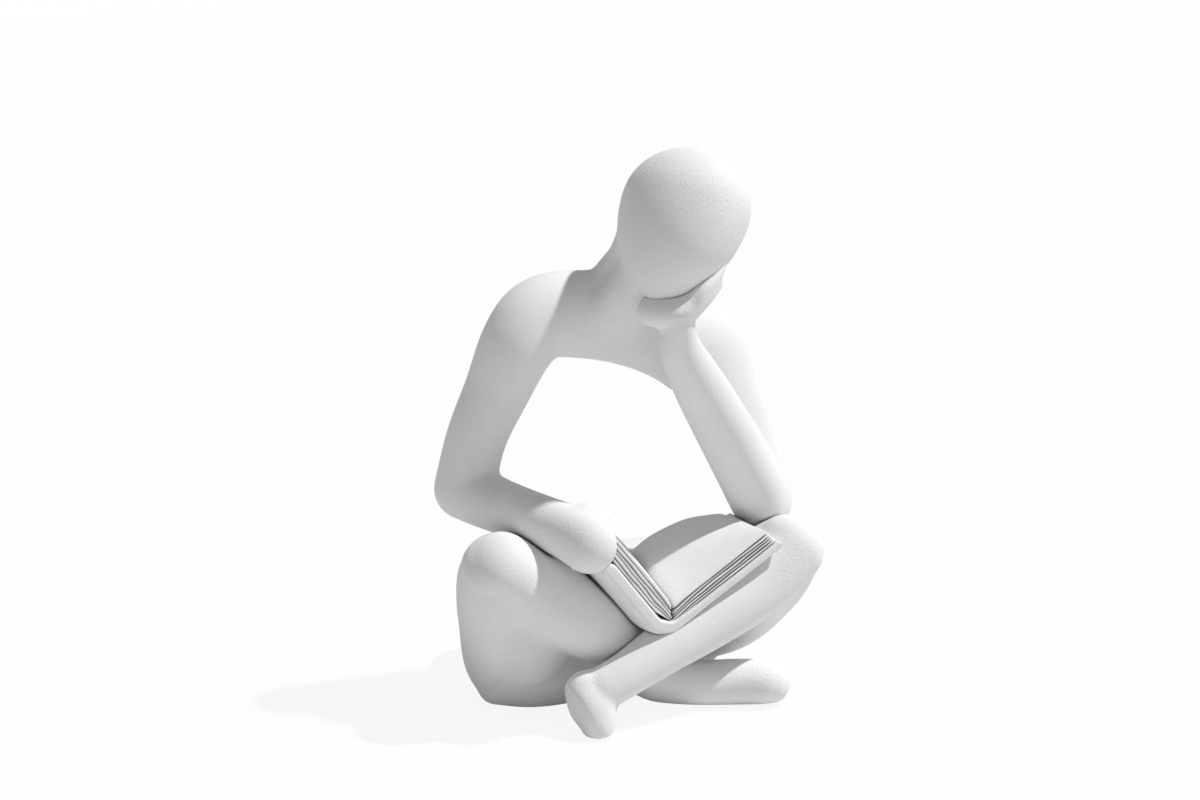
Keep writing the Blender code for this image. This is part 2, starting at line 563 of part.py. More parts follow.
class Book:
    """An open book: its cover is a plain V, and its pages lie straight at the front and arch at the back."""

    WIDTH = {1: RIGHT_PAGE_WIDTH, -1: LEFT_PAGE_WIDTH}
    SLOPE = {1: RIGHT_SLOPE, -1: LEFT_SLOPE}
    BLOCK = {1: RIGHT_BLOCK_THICKNESS, -1: LEFT_BLOCK_THICKNESS}
    FALL = {1: RIGHT_PAGE_FALL, -1: LEFT_PAGE_FALL}
    FAN = {1: RIGHT_LEAF_FAN, -1: LEFT_LEAF_FAN}
    COVER = {1: RIGHT_COVER_THICKNESS, -1: LEFT_COVER_THICKNESS}

    def __init__(self, gutter):
        self.gutter = gutter

    def steps(self):
        return [step / BOOK_STEPS for step in range(BOOK_STEPS + 1)]

    def upright(self, side, share, at_spine, square):
        """Upright thickness, from its value at the spine to one that is square to the half's slope."""
        return at_spine + (square / math.cos(self.SLOPE[side]) - at_spine) * min(share / SPINE_SHARE, 1)

    def straight(self, side, share, depth):
        """Point on the line from the gutter up a half's slope, moved from front to back by depth."""
        slope = self.SLOPE[side]
        out = self.WIDTH[side] * share
        return self.gutter + Vector((side * out * math.cos(slope), PAGE_DEPTH * depth, out * math.sin(slope)))

    def inner(self, side, share, depth):
        """Point of the cover's inner face."""
        drop = self.upright(side, share, GUTTER_THICKNESS, self.BLOCK[side]) + GLUE_GAP
        return self.straight(side, share, depth) - UP * drop

    def page(self, side, share, depth):
        """Point of a page's face, which lifts at the gutter and falls at its edge towards the back."""
        lift = GUTTER_LIFT * (1 - share) - self.FALL[side] * share + PAGE_SWELL * math.sin(math.pi * share)
        return self.straight(side, share, depth) + UP * lift * depth

    def block_rings(self, side):
        """Sections of a page block, whose lower leaves reach further out than its top one."""
        fanned = 1 + self.FAN[side] / self.WIDTH[side]
        rings = []
        for depth in self.steps():
            top = [self.page(side, share, depth) for share in self.steps()]
            bottom = [self.inner(side, share * fanned, depth) + UP * GLUE_GAP for share in self.steps()]
            for corner in (top[0], bottom[0]):
                corner.x += side * GLUE_GAP / 2
            rings.append(top + list(reversed(bottom)))
        return rings

    def cover_rings(self, gap, rise, pages=False):
        """Sections of the cover, or of the room that the whole book takes, with a gap round it."""
        across = []
        for side in (-1, 1):
            past = (self.FAN[side] + COVER_PAST_LEAVES + gap) / self.WIDTH[side]
            across.append([(side, share) for share in self.steps() + [1 + past]])
        across = across[0][:0:-1] + across[1]
        past_head = (COVER_PAST_HEAD + gap) / PAGE_DEPTH
        rings = []
        for depth in [-past_head] + self.steps() + [1 + past_head]:
            upper = []
            lower = []
            for side, share in across:
                inner = self.inner(side, share, depth)
                drop = self.upright(side, share, SPINE_THICKNESS, self.COVER[side])
                face = self.page(side, min(share, 1), min(max(depth, 0), 1)) if pages else inner
                upper.append(Vector((inner.x, inner.y, max(face.z, inner.z) + rise)))
                lower.append(inner - UP * (drop + rise))
            rings.append(upper + list(reversed(lower)))
        return rings


def build():
    clear_scene()
    shop = Workshop()
    bones = Skeleton()
    book = Book(bones.gutter)
    half_gap = GLUE_GAP / 2

    floor = shop.half_space("Under the figure", Vector((0, 0, bones.floor)), -UP, FLOOR_CUT_SIZE, 0.0)

    # Seat and legs, parted on upright planes across the thighs
    seat = shop.casting("seat", [bones.seat, bones.lap, bones.right_thigh, bones.swell, bones.left_thigh])
    right_leg = shop.casting("right_leg", [bones.right_thigh, bones.lap, bones.swell])
    left_leg = shop.casting("left_leg", [bones.left_thigh])
    for name, leg, hip, knee in (
            ("right_hip_pin", right_leg, bones.right_hip, RIGHT_KNEE),
            ("left_hip_pin", left_leg, bones.left_hip, LEFT_KNEE)):
        along = Vector((knee.x - hip.x, knee.y - hip.y, 0)).normalized()
        seam = between(hip, knee, HIP_SEAM_SHARE)
        seam.z = hip.z
        for casting, outward in ((seat, along), (leg, -along)):
            plane = shop.half_space(f"{name} {casting.name} plane", seam, outward, HIP_CUT_SIZE, -half_gap)
            shop.combine(casting, plane, "DIFFERENCE")
        shop.pin(name, seam, along, PIN_LENGTH, (seat, leg))
    shop.join(right_leg, [bones.right_shin])
    shop.join(left_leg, [bones.left_shin, bones.left_foot])
    sole = shop.half_space(
        "Left sole", LEFT_ANKLE + LEFT_SOLE_FROM_ANKLE, LEFT_SOLE_OUTWARD, SOLE_CUT_SIZE, 0.0)
    shop.combine(left_leg, sole, "DIFFERENCE")
    shop.clear(seat, [bones.right_shin, bones.left_shin])
    shop.clear(right_leg, [bones.left_shin, bones.left_foot])

    # Book
    for name, rings in (
            ("book_cover", book.cover_rings(0.0, 0.0)),
            ("left_page_block", book.block_rings(-1)),
            ("right_page_block", book.block_rings(1))):
        piece = shop.give(add_object(name, mesh_from_rings(name, rings, True), shop.parts), RESIN)
        piece.data.set_sharp_from_angle(angle=SHARP_ANGLE)
    rings = book.cover_rings(GLUE_GAP, GLUE_GAP / math.cos(LEFT_SLOPE), True)
    mesh = mesh_from_rings("Book space", rings, True)
    book_space = shop.cutter(add_object("Book space", mesh, shop.cutters))
    for casting in (seat, right_leg, left_leg):
        shop.combine(casting, book_space, "DIFFERENCE")
        shop.combine(casting, floor, "DIFFERENCE")

    # Shoulder yoke, upper arms, head
    yoke = shop.casting("shoulder_yoke", [bones.arch, bones.neck])
    right_upper_arm = shop.casting("right_upper_arm", [bones.arch])
    left_upper_arm = shop.casting("left_upper_arm", [bones.arch])
    head = shop.casting("head", [bones.head_form, bones.neck])
    for name, arm, seam, upward in (
            ("right_shoulder_pin", right_upper_arm, RIGHT_SHOULDER, bones.right_seam_axis),
            ("left_shoulder_pin", left_upper_arm, bones.left_seam, bones.left_seam_axis)):
        for casting, gap, operation in ((yoke, -half_gap, "DIFFERENCE"), (arm, half_gap, "INTERSECT")):
            plane = shop.half_space(f"{name} {casting.name} plane", seam, -upward, ARM_CUT_SIZE, gap)
            shop.combine(casting, plane, operation)
        shop.pin(name, seam, upward, PIN_LENGTH, (yoke, arm))
    for casting, outward in ((yoke, bones.neck_axis), (head, -bones.neck_axis)):
        plane = shop.half_space(f"{casting.name} neck", bones.neck_seam, outward, NECK_CUT_SIZE, -half_gap)
        shop.combine(casting, plane, "DIFFERENCE")
    shop.pin("neck_pin", bones.neck_seam, bones.neck_axis, PIN_LENGTH, (yoke, head))

    # Forearms, mitred to the upper arms
    right_forearm = shop.casting("right_forearm", [bones.right_forearm, bones.right_thumb])
    left_forearm = shop.casting("left_forearm", [bones.left_forearm, bones.left_palm, bones.left_thumb])
    right_mitre = bones.mitre(RIGHT_ELBOW, RIGHT_SHOULDER, bones.right_hand)
    left_mitre = bones.mitre(bones.left_elbow, bones.left_seam, bones.wrist)
    left_bend = ((bones.left_seam - bones.left_elbow).normalized()
                 + (bones.wrist - bones.left_elbow).normalized()).normalized()
    for name, upper, lower, elbow, across, middle in (
            ("right_elbow_pin", right_upper_arm, right_forearm, RIGHT_ELBOW, right_mitre, RIGHT_ELBOW),
            ("left_elbow_pin", left_upper_arm, left_forearm, bones.left_elbow, left_mitre,
             bones.left_elbow + left_bend * ELBOW_RADIUS)):
        for casting, outward in ((upper, across), (lower, -across)):
            plane = shop.half_space(f"{name} {casting.name} plane", elbow, outward, ARM_CUT_SIZE, -half_gap)
            shop.combine(casting, plane, "DIFFERENCE")
        shop.pin(name, middle, across, ELBOW_PIN_LENGTH, (upper, lower))
    shop.clear(right_forearm, [bones.right_thigh, bones.right_shin])
    shop.clear(left_forearm, [bones.left_thigh, bones.left_shin, bones.head_form, bones.neck])
    shop.clear(left_upper_arm, [bones.left_thigh, bones.left_shin])
    for casting in (right_forearm, left_forearm, left_upper_arm):
        shop.combine(casting, book_space, "DIFFERENCE")

    # Dowels that stand the arms on the legs
    shop.pin("left_knee_pin", bones.elbow_seat, UP, ELBOW_PIN_LENGTH,
             (left_upper_arm, left_forearm, left_leg))
    downward = (bones.right_thigh.stations[2][0] - bones.over_thigh).normalized()
    shop.pin("right_knee_pin", bones.over_thigh + downward * FOREARM_RADIUS, downward, ELBOW_PIN_LENGTH,
             (right_forearm, right_leg))

    # Felt pads
    for name, place, radius in (
            ("right_hip_pad", bones.right_hip, HIP_PAD_RADIUS),
            ("left_hip_pad", bones.left_hip, HIP_PAD_RADIUS),
            ("right_foot_pad", bones.right_sole, FOOT_PAD_RADIUS),
            ("left_foot_pad", bones.left_sole, FOOT_PAD_RADIUS)):
        middle = Vector((place.x, place.y, PAD_THICKNESS / 2))
        shop.give(shop.round_bar(name, middle, UP, radius, PAD_THICKNESS, shop.parts), FELT)

    centre(shop)


def centre(shop):
    """Stand the figure with the middle of its plan over the origin."""
    stand = bpy.data.objects.new("figurine_origin", None)
    shop.parts.objects.link(stand)
    bpy.context.view_layer.update()
    graph = bpy.context.evaluated_depsgraph_get()
    corners = []
    for piece in shop.parts.objects:
        if piece.type == "MESH":
            solid = piece.evaluated_get(graph)
            corners += [solid.matrix_world @ Vector(corner) for corner in solid.bound_box]
    for thing in list(shop.parts.objects) + list(shop.cutters.objects):
        if thing is not stand:
            thing.parent = stand
    for axis in (0, 1):
        low = min(corner[axis] for corner in corners)
        high = max(corner[axis] for corner in corners)
        stand.location[axis] = -(low + high) / 2


build()
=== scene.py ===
import math

import bpy
import numpy as np
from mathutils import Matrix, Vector


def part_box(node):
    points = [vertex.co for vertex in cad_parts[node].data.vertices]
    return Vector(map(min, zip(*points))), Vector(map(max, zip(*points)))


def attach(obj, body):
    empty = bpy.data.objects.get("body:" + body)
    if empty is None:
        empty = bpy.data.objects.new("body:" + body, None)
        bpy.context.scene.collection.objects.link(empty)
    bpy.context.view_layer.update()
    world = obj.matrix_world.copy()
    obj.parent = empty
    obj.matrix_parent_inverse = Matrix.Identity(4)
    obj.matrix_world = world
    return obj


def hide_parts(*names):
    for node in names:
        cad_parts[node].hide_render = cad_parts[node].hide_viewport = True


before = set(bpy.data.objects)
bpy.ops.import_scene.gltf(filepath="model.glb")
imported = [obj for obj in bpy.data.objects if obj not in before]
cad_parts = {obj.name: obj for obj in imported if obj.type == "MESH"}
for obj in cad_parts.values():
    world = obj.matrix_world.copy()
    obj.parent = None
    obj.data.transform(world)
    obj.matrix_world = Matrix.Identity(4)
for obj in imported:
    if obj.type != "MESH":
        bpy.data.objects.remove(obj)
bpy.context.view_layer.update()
scene = bpy.context.scene
millimetre = 0.001

# Sizes below are in millimetres in the figure's own frame, whose zero lies on the floor in front of the hips
hipSetback = 26.5
hipPads = np.array([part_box("right_hip_pad"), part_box("left_hip_pad")]) / millimetre
stand = np.array((*hipPads.mean(axis=(0, 1))[:2], 0)) - (0, hipSetback, 0)


def linked(name, data):
    thing = bpy.data.objects.new(name, data)
    scene.collection.objects.link(thing)
    return thing


def meshFromFaces(name, points, faces):
    # points as a whole array in the figure's frame
    mesh = bpy.data.meshes.new(name)
    mesh.from_pydata((np.asarray(points, float) + stand) * millimetre, [], faces)
    mesh.update()
    return mesh


def settled(thing):
    # the object with its modifiers worked in, as a mesh of its own
    graph = bpy.context.evaluated_depsgraph_get()
    mesh = bpy.data.meshes.new_from_object(thing.evaluated_get(graph))
    old = thing.data
    bpy.data.objects.remove(thing)
    if old.users == 0:
        bpy.data.meshes.remove(old)
    return mesh


def curveThrough(stations, steps):
    # Catmull-Rom curve: each span is the cubic that leaves a station along the chord of its two neighbours
    p = np.asarray(stations, float)
    spans = len(p) - 1
    padded = np.vstack([2 * p[0] - p[1], p, 2 * p[-1] - p[-2]])
    t = np.linspace(0, spans, spans * steps + 1)
    i = np.minimum(t.astype(int), spans - 1)
    f = (t - i)[:, None]
    a, b, c, d = padded[i], padded[i + 1], padded[i + 2], padded[i + 3]
    return 0.5 * (2 * b + (c - a) * f + (2 * a - 5 * b + 4 * c - d) * f**2 + (3 * (b - c) + d - a) * f**3)


def unit(vectors):
    return vectors / np.linalg.norm(vectors, axis=-1, keepdims=True)


limbDetail = {"steps": 10, "sides": 40, "endRings": 8}


def limbGrid(limb):
    # an ellipse carried along the curve through the stations; past each end it closes as a quarter ellipse
    q = curveThrough(limb["stations"], limbDetail["steps"])
    centre, wide, deep = q[:, :3], q[:, 3], q[:, 4]
    along = unit(np.gradient(centre, axis=0))
    on = np.linspace(0, math.pi / 2, limbDetail["endRings"] + 1)[1:]
    back = on[::-1]
    startReach, endReach = limb.get("ends", (1.0, 1.0))
    startReach *= (wide[0] + deep[0]) / 2
    endReach *= (wide[-1] + deep[-1]) / 2
    centre = np.vstack([centre[0] - along[0] * (startReach * np.sin(back))[:, None], centre,
                        centre[-1] + along[-1] * (endReach * np.sin(on))[:, None]])
    wide = np.concatenate([wide[0] * np.cos(back), wide, wide[-1] * np.cos(on)])
    deep = np.concatenate([deep[0] * np.cos(back), deep, deep[-1] * np.cos(on)])
    along = np.vstack([np.repeat(along[:1], len(back), 0), along, np.repeat(along[-1:], len(on), 0)])
    side = unit(np.cross(along, np.asarray(limb["depthTowards"], float)))
    inward = np.cross(side, along)
    angle = np.linspace(0, 2 * math.pi, limbDetail["sides"], endpoint=False)
    across = (wide[:, None] * np.cos(angle))[..., None] * side[:, None]
    return centre[:, None] + across + (deep[:, None] * np.sin(angle))[..., None] * inward[:, None]


def tubeFaces(rings, sides, first=0):
    # quads between neighbouring rings, and one polygon over each end
    index = np.arange(rings * sides).reshape(rings, sides) + first
    onward = np.roll(index, -1, axis=1)
    quads = np.stack([index[:-1], onward[:-1], onward[1:], index[1:]], axis=-1).reshape(-1, 4)
    return quads.tolist() + [index[0, ::-1].tolist(), index[-1].tolist()]


def seatedOn(mesh, level, rounding):
    # height becomes the soft maximum of itself and the floor: floor + r log(1 + exp((z - floor) / r))
    place = np.empty(len(mesh.vertices) * 3, np.float32)
    mesh.vertices.foreach_get("co", place)
    height = (place[2::3] / millimetre - level) / rounding
    place[2::3] = (level + rounding * np.logaddexp(0, height)) * millimetre
    mesh.vertices.foreach_set("co", place)
    mesh.update()


def moulded(name, limbs, settings):
    # limbs run together in one skin, then eased where they meet
    points, faces = [], []
    count = 0
    for limb in limbs:
        grid = limbGrid(limb)
        faces += tubeFaces(grid.shape[0], grid.shape[1], count)
        points.append(grid.reshape(-1, 3))
        count += grid.shape[0] * grid.shape[1]
    thing = linked(name, meshFromFaces(name, np.vstack(points), faces))
    skin = thing.modifiers.new("Skin", "REMESH")
    skin.mode = "VOXEL"
    skin.voxel_size = settings["skin"] * millimetre
    ease = thing.modifiers.new("Ease", "SMOOTH")
    ease.factor = settings["easeFactor"]
    ease.iterations = settings["ease"]
    mesh = settled(thing)
    seatedOn(mesh, settings["floor"], settings["floorRound"])
    print("moulded", name, len(mesh.vertices))
    return mesh


def pressedFlat(mesh, settings):
    # distance d past a plane shrinks to a soft minimum with zero: -r log(1 + exp(-d / r))
    place = np.empty(len(mesh.vertices) * 3, np.float32)
    mesh.vertices.foreach_get("co", place)
    place = place.reshape(-1, 3)
    outward = unit(np.asarray(settings["outward"], float))
    rounding = settings["rounding"]
    past = (place / millimetre - stand - settings["point"]) @ outward
    pressed = -rounding * np.logaddexp(0, -past / rounding)
    place += ((pressed - past)[:, None] * outward * millimetre).astype(np.float32)
    mesh.vertices.foreach_set("co", place.ravel())
    mesh.update()


def blockPast(point, outward, size):
    # a box of a width, height and reach on the far side of a plane
    wide, high, reach = size
    corners = np.array([(x, y, z) for z in (0, reach)
                        for y in (-high / 2, high / 2)
                        for x in (-wide / 2, wide / 2)])
    turn = np.array(Vector(outward).to_track_quat("Z", "Y").to_matrix())
    faces = [(0, 2, 3, 1), (4, 5, 7, 6), (0, 1, 5, 4), (2, 6, 7, 3), (0, 4, 6, 2), (1, 3, 7, 5)]
    return meshFromFaces("block", corners @ turn.T + np.asarray(point), faces)


def upright(outline, low, high):
    # an upright prism over an outline in plan, which runs anticlockwise
    plan = np.asarray(outline, float)
    count = len(plan)
    points = np.vstack([np.c_[plan, np.full(count, low)], np.c_[plan, np.full(count, high)]])
    index = np.arange(count)
    onward = np.roll(index, -1)
    sides = np.stack([index, onward, onward + count, index + count], axis=-1)
    return meshFromFaces("prism", points, sides.tolist() + [index[::-1].tolist(), (index + count).tolist()])


def carved(mesh, *cuts):
    # cuts are (operation, mesh) in turn
    thing = linked("blank", mesh.copy())
    tools = []
    for operation, cutter in cuts:
        tool = linked("tool", cutter)
        tool.hide_render = True
        tools.append(tool)
        change = thing.modifiers.new("Cut", "BOOLEAN")
        change.operation = operation
        change.solver = "MANIFOLD"
        change.object = tool
    made = settled(thing)
    for tool in tools:
        bpy.data.objects.remove(tool)
    return made


sharpAngle = 50  # degrees between faces, past which an edge is drawn sharp


def piece(name, mesh, material, nodes):
    mesh.name = name
    mesh.materials.clear()
    mesh.materials.append(material)
    mesh.polygons.foreach_set("material_index", np.zeros(len(mesh.polygons), np.int32))
    mesh.shade_smooth()
    mesh.set_sharp_from_angle(angle=math.radians(sharpAngle))
    thing = linked(name, mesh)
    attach(thing, "root")
    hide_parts(*nodes)
    return thing


def linear(code):
    # sRGB hex to the linear colour that the shader takes
    value = np.array([int(code[i:i + 2], 16) / 255 for i in (1, 3, 5)])
    value = np.where(value <= 0.04045, value / 12.92, ((value + 0.055) / 1.055) ** 2.4)
    return (*value.tolist(), 1.0)


def addNode(tree, kind, settings=None, links=None):
    # settings name the node's own fields or its sockets; links name socket by source socket
    node = tree.nodes.new(kind)
    for key, value in (settings or {}).items():
        if key in node.inputs:
            node.inputs[key].default_value = value
        else:
            setattr(node, key, value)
    for key, source in (links or {}).items():
        tree.links.new(source, node.inputs[key])
    return node


# the colour sockets of a Mix node, whose names its other kinds share: first, second and result
mixFirst, mixSecond, mixResult = 6, 7, 2


def newMaterial(name):
    material = bpy.data.materials.new(name)
    material.use_nodes = True
    tree = material.node_tree
    tree.nodes.clear()
    return material, tree


# Lengths in millimetres; limits are the low and high end of the range that a noise or crease is mapped from
# the grey for creases is painted shade, blended in by ambient occlusion
stonePaint = {"light": "#F1F1F0", "dark": "#E7E7E6", "paintedShade": "#969593", "roughness": 0.92, "ior": 1.5,
              "specular": 0.25, "cloud": 14.0, "grit": 0.75, "gritHeight": 0.07, "gritLimits": (0.5, 0.75),
              "fine": 0.3, "fineHeight": 0.022, "patch": 24.0, "patchLimits": (0.4, 0.6), "patchLeast": 0.2,
              "crease": 1.6, "creaseLimits": (0.15, 0.6), "creaseSamples": 8}


def stonePaintMaterial(settings):
    # stone-texture paint sprayed on cast polyester resin: chalky, even white, with grit that shows in raking
    # light; narrow creases and grooves get painted shade
    material, tree = newMaterial("Stone-texture paint on cast resin")
    where = addNode(tree, "ShaderNodeTexCoord").outputs["Object"]
    cloud = addNode(tree, "ShaderNodeTexNoise", {"Scale": 1000 / settings["cloud"], "Detail": 3.0},
                    {"Vector": where})
    tint = addNode(tree, "ShaderNodeMix", {"data_type": "RGBA"}, {"Factor": cloud.outputs["Fac"]})
    tint.inputs[mixFirst].default_value = linear(settings["dark"])
    tint.inputs[mixSecond].default_value = linear(settings["light"])
    grit = addNode(tree, "ShaderNodeTexNoise", {"Scale": 1000 / settings["grit"], "Detail": 1.0},
                   {"Vector": where})
    fine = addNode(tree, "ShaderNodeTexNoise", {"Scale": 1000 / settings["fine"], "Detail": 2.0},
                   {"Vector": where})
    low, high = settings["gritLimits"]
    raised = addNode(tree, "ShaderNodeMapRange",
                     {"interpolation_type": "SMOOTHSTEP", "From Min": low, "From Max": high},
                     {"Value": grit.outputs["Fac"]})
    # grit lies in patches and is faint between them
    patch = addNode(tree, "ShaderNodeTexNoise", {"Scale": 1000 / settings["patch"], "Detail": 2.0},
                    {"Vector": where})
    low, high = settings["patchLimits"]
    kept = addNode(tree, "ShaderNodeMapRange",
                   {"From Min": low, "From Max": high, "To Min": settings["patchLeast"]},
                   {"Value": patch.outputs["Fac"]})
    patchy = addNode(tree, "ShaderNodeMath", {"operation": "MULTIPLY"})
    tree.links.new(raised.outputs["Result"], patchy.inputs[0])
    tree.links.new(kept.outputs["Result"], patchy.inputs[1])
    fineBump = addNode(tree, "ShaderNodeBump",
                       {"Strength": 1.0, "Distance": settings["fineHeight"] * millimetre},
                       {"Height": fine.outputs["Fac"]})
    gritBump = addNode(tree, "ShaderNodeBump",
                       {"Strength": 1.0, "Distance": settings["gritHeight"] * millimetre},
                       {"Height": patchy.outputs[0], "Normal": fineBump.outputs["Normal"]})
    # painted shade: where ambient occlusion finds a narrow crease or groove, the tint is blended towards a
    # grey
    creaseOcclusion = addNode(tree, "ShaderNodeAmbientOcclusion",
                     {"samples": settings["creaseSamples"], "Distance": settings["crease"] * millimetre})
    low, high = settings["creaseLimits"]
    unshaded = addNode(tree, "ShaderNodeMapRange", {"From Min": low, "From Max": high},
                      {"Value": creaseOcclusion.outputs["AO"]})
    shadedTint = addNode(tree, "ShaderNodeMix", {"data_type": "RGBA"}, {"Factor": unshaded.outputs["Result"]})
    shadedTint.inputs[mixFirst].default_value = linear(settings["paintedShade"])
    tree.links.new(tint.outputs[mixResult], shadedTint.inputs[mixSecond])
    shader = addNode(tree, "ShaderNodeBsdfPrincipled",
                     {"Roughness": settings["roughness"], "IOR": settings["ior"],
                      "Specular IOR Level": settings["specular"]},
                     {"Base Color": shadedTint.outputs[mixResult], "Normal": gritBump.outputs["Normal"]})
    addNode(tree, "ShaderNodeOutputMaterial", {}, {"Surface": shader.outputs["BSDF"]})
    return material


steel = {"colour": "#A9ABAD", "roughness": 0.32, "roughnessSpread": 0.08, "drawLine": 0.12}


def drawnSteelMaterial(settings):
    # cold-drawn steel rod: fine marks from the die blur the reflections; they are a hundredth of a
    # millimetre apart and are drawn coarser, or they wouldn't show at all
    material, tree = newMaterial("Cold-drawn steel rod")
    where = addNode(tree, "ShaderNodeTexCoord").outputs["Object"]
    lines = addNode(tree, "ShaderNodeTexNoise", {"Scale": 1000 / settings["drawLine"], "Detail": 1.0},
                    {"Vector": where})
    spread = settings["roughnessSpread"]
    rough = addNode(tree, "ShaderNodeMapRange",
                    {"To Min": settings["roughness"] - spread, "To Max": settings["roughness"] + spread},
                    {"Value": lines.outputs["Fac"]})
    shader = addNode(tree, "ShaderNodeBsdfPrincipled",
                     {"Metallic": 1.0, "Base Color": linear(settings["colour"])},
                     {"Roughness": rough.outputs["Result"]})
    addNode(tree, "ShaderNodeOutputMaterial", {}, {"Surface": shader.outputs["BSDF"]})
    return material


felt = {"light": "#DEDCD6", "dark": "#C9C6BE", "fibre": 0.35, "tangle": 2.0, "height": 0.12, "sheen": 0.3}


def feltMaterial(settings):
    # pressed wool felt: matted fibres, soft at grazing angles; single fibres are too fine to show,
    # so the pattern is as coarse as a tuft of them
    material, tree = newMaterial("Pressed wool felt")
    where = addNode(tree, "ShaderNodeTexCoord").outputs["Object"]
    fibre = addNode(tree, "ShaderNodeTexNoise",
                    {"Scale": 1000 / settings["fibre"], "Detail": 4.0, "Distortion": settings["tangle"]},
                    {"Vector": where})
    tint = addNode(tree, "ShaderNodeMix", {"data_type": "RGBA"}, {"Factor": fibre.outputs["Fac"]})
    tint.inputs[mixFirst].default_value = linear(settings["dark"])
    tint.inputs[mixSecond].default_value = linear(settings["light"])
    nap = addNode(tree, "ShaderNodeBump", {"Strength": 1.0, "Distance": settings["height"] * millimetre},
                  {"Height": fibre.outputs["Fac"]})
    shader = addNode(tree, "ShaderNodeBsdfPrincipled", {"Roughness": 1.0, "Sheen Weight": settings["sheen"]},
                     {"Base Color": tint.outputs[mixResult], "Normal": nap.outputs["Normal"]})
    addNode(tree, "ShaderNodeOutputMaterial", {}, {"Surface": shader.outputs["BSDF"]})
    return material


paint = stonePaintMaterial(stonePaint)
rod = drawnSteelMaterial(steel)
wool = feltMaterial(felt)
print("materials made")

# Stations are (x, y, z, half width, half depth) in millimetres, from one end of a limb to the other
casting = {"skin": 0.6, "ease": 30, "easeFactor": 0.5, "floor": 0.8, "floorRound": 0.5}
bustCasting = casting | {"ease": 55}  # so that jaw, throat and chest run into each other
rear, sky = (0, 1, 0), (0, 0, 1)

# from the right elbow over the shoulders to the left elbow
shoulderLine = [
    (-47.4, 14.9, 64.5, 8.9, 8.9), (-43.9, 13.6, 79.9, 8.8, 8.8), (-38.2, 11.6, 93.8, 9.6, 9.4),
    (-32.4, 8.9, 108.0, 11.1, 10.6), (-24.8, 8.9, 114.6, 12.2, 11.0), (-11.4, 8.2, 114.2, 12.9, 11.0),
    (1.7, 7.9, 110.8, 12.9, 11.0), (14.3, 7.8, 105.2, 12.9, 11.0), (25.1, 6.6, 98.8, 14.2, 11.0),
    (32.0, 3.6, 86.0, 10.0, 9.9), (37.1, 1.5, 71.6, 9.1, 9.1), (41.0, -1.8, 54.5, 9.3, 9.3)]
leftShoulder = 8
bustArch = {"depthTowards": rear, "stations": shoulderLine[:-1]}
leftUpperArm = {"depthTowards": rear, "ends": (0.4, 1.0), "stations": shoulderLine[leftShoulder:]}
neck = {"depthTowards": rear, "ends": (0.5, 0.6), "stations": [
    (-3.6, 6.0, 115.4, 14.6, 10.0), (-1.0, 3.0, 122.4, 11.8, 9.2), (1.7, -0.2, 129.2, 11.0, 8.4),
    (2.2, -5.0, 136.8, 10.2, 8.8), (3.8, -9.3, 143.7, 10.2, 10.0), (6.5, -10.8, 150.6, 10.4, 10.0)]}
throat = {"depthTowards": rear, "ends": (0.8, 0.8), "stations": [
    (3.0, -9.0, 138.0, 9.0, 9.0), (0.0, -9.0, 130.0, 8.8, 8.5), (-3.0, -3.6, 120.5, 10.0, 7.6),
    (-6.0, 3.0, 112.0, 12.0, 7.0)]}
egg = {"middle": (10.4, -11.6, 147.6), "crownAxis": (0.371, 0.280, 0.885), "chin": (-3.7, -20.8, 123.0),
       "crown": 16.6, "halfWidth": 17.7, "halfDepth": 20.5, "jawPower": 0.62, "crownPower": 0.5,
       "tip": 0.985, "sections": 41}


def eggStations(settings):
    # half an ellipse over the crown, and below it a longer and more pointed half down to the chin
    t = np.linspace(-settings["tip"], settings["tip"], settings["sections"])[:, None]
    middle = np.asarray(settings["middle"])
    below = middle - t * (np.asarray(settings["chin"]) - middle)
    above = middle + t * settings["crown"] * np.asarray(settings["crownAxis"])
    size = (1 - t**2) ** np.where(t < 0, settings["jawPower"], settings["crownPower"])
    return np.hstack([np.where(t < 0, below, above), size * settings["halfWidth"],
                      size * settings["halfDepth"]])


headForm = {"depthTowards": rear, "ends": (0.3, 0.1), "stations": eggStations(egg)}
rightForearm = {"depthTowards": sky, "stations": [
    (-47.4, 14.9, 64.5, 8.9, 8.9), (-43.9, 7.8, 62.8, 8.2, 8.3), (-39.3, -0.9, 61.4, 7.8, 7.8),
    (-34.0, -11.0, 60.2, 7.3, 7.6), (-29.5, -19.8, 58.6, 7.4, 8.2), (-26.4, -26.0, 56.6, 7.6, 8.6)]}
rightThumb = {"depthTowards": rear, "stations": [
    (-28.5, -19.0, 62.2, 3.8, 3.8), (-24.9, -20.6, 63.6, 3.9, 3.9), (-21.4, -21.6, 62.8, 3.5, 3.5)]}
leftForearm = {"depthTowards": rear, "ends": (1.0, 0.8), "stations": [
    (41.0, -1.8, 54.5, 9.3, 9.3), (32.4, -6.8, 67.0, 8.9, 8.9), (22.0, -12.0, 82.7, 8.5, 8.5),
    (12.1, -16.6, 97.1, 7.6, 7.6), (4.0, -21.0, 109.5, 6.0, 6.0), (1.8, -24.0, 117.7, 4.6, 5.2)]}
leftFingers = {"depthTowards": rear, "stations": [
    (2.2, -25.9, 120.9, 2.6, 4.0), (4.4, -25.9, 122.4, 2.8, 4.2), (7.5, -26.8, 127.0, 2.4, 4.0),
    (12.3, -25.6, 130.9, 2.1, 3.4), (15.9, -24.5, 134.4, 1.3, 2.4)]}
leftPalm = {"depthTowards": rear, "ends": (0.8, 0.8), "stations": [
    (-4.2, -18.4, 120.4, 4.4, 4.6), (-1.4, -21.4, 120.4, 4.8, 6.0), (2.8, -23.5, 121.2, 4.8, 6.5),
    (8.0, -23.8, 124.6, 3.8, 6.0), (12.7, -23.0, 127.7, 2.6, 5.0)]}

